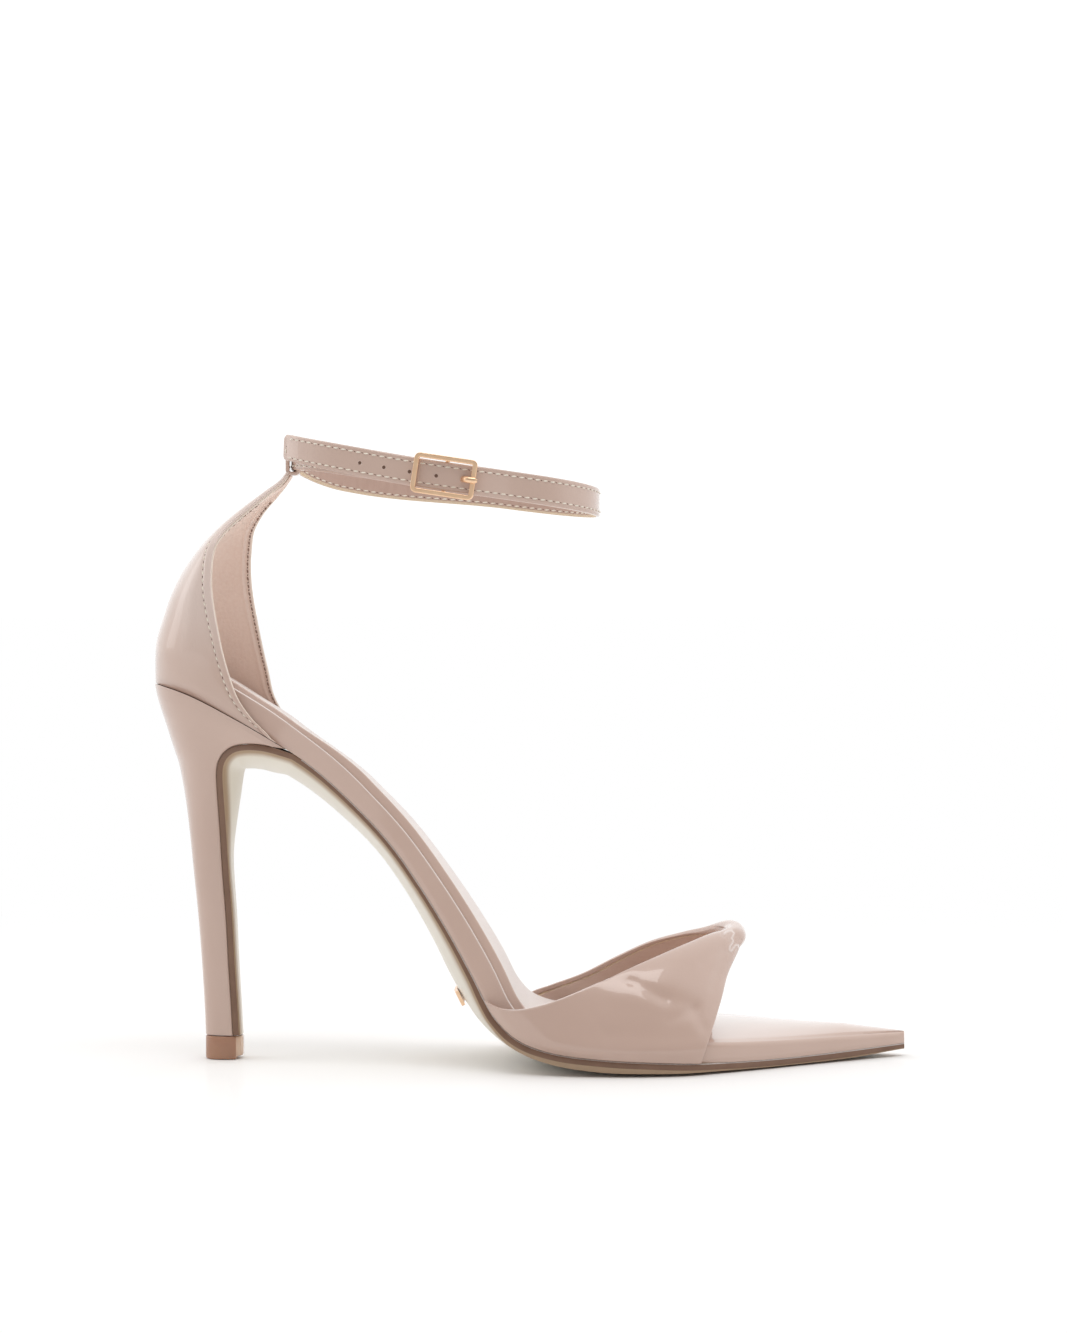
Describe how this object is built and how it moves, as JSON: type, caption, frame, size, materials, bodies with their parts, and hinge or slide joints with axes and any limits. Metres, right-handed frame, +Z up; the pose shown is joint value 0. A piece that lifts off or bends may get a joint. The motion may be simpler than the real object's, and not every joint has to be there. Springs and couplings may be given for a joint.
{
  "type": "high heel shoe",
  "caption": "Pointed patent stiletto sandal for the right foot, with a knotted vamp band, closed heel counter and buckled ankle strap.",
  "frame": {"origin": "middle of the shoe's bounding box in plan, on the floor", "axes": "+X to the toe, +Y to the inner side of the right foot, +Z up"},
  "size_m": [0.2208, 0.0826, 0.1828],
  "materials": {
    "patent": "gloss",
    "outsole": "satin",
    "top_lift": "satin",
    "sock": "satin",
    "metal": "polished"
  },
  "bodies": {
    "root": {"outsole": "outsole", "heel": "patent", "top_lift": "top_lift", "footbed": "patent", "sock": "sock", "vamp": "patent", "counter": "patent", "ankle_strap": "patent", "buckle_frame": "metal", "buckle_prong": "metal", "sole_plate": "metal"}
  },
  "joints": []
}
